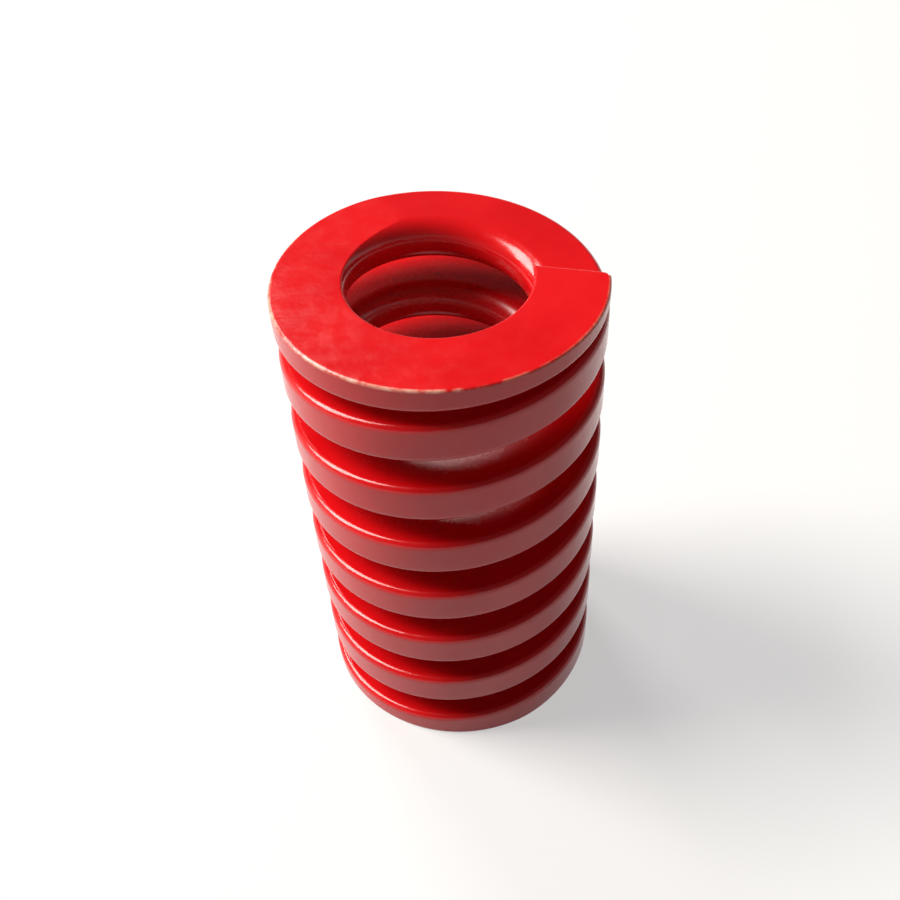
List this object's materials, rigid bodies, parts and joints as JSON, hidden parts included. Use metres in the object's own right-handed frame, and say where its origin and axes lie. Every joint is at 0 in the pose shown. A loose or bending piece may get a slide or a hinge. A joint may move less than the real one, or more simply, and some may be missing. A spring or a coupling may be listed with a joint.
{
  "type": "die spring",
  "caption": "Closed and ground compression spring of heavy flat wire, painted red, for a rod through its bore or a pocket around it.",
  "frame": {"origin": "centre of the lower ground face, on the coil's axis", "axes": "+Z along the coil's axis, from the lower ground face to the upper one; the upper tip of the wire lies near +X"},
  "size_m": [0.035, 0.035, 0.06],
  "materials": {
    "red_paint": "gloss red paint over spring steel, ground faces painted too"
  },
  "bodies": {
    "root": {"die_spring": "red_paint"}
  },
  "joints": []
}
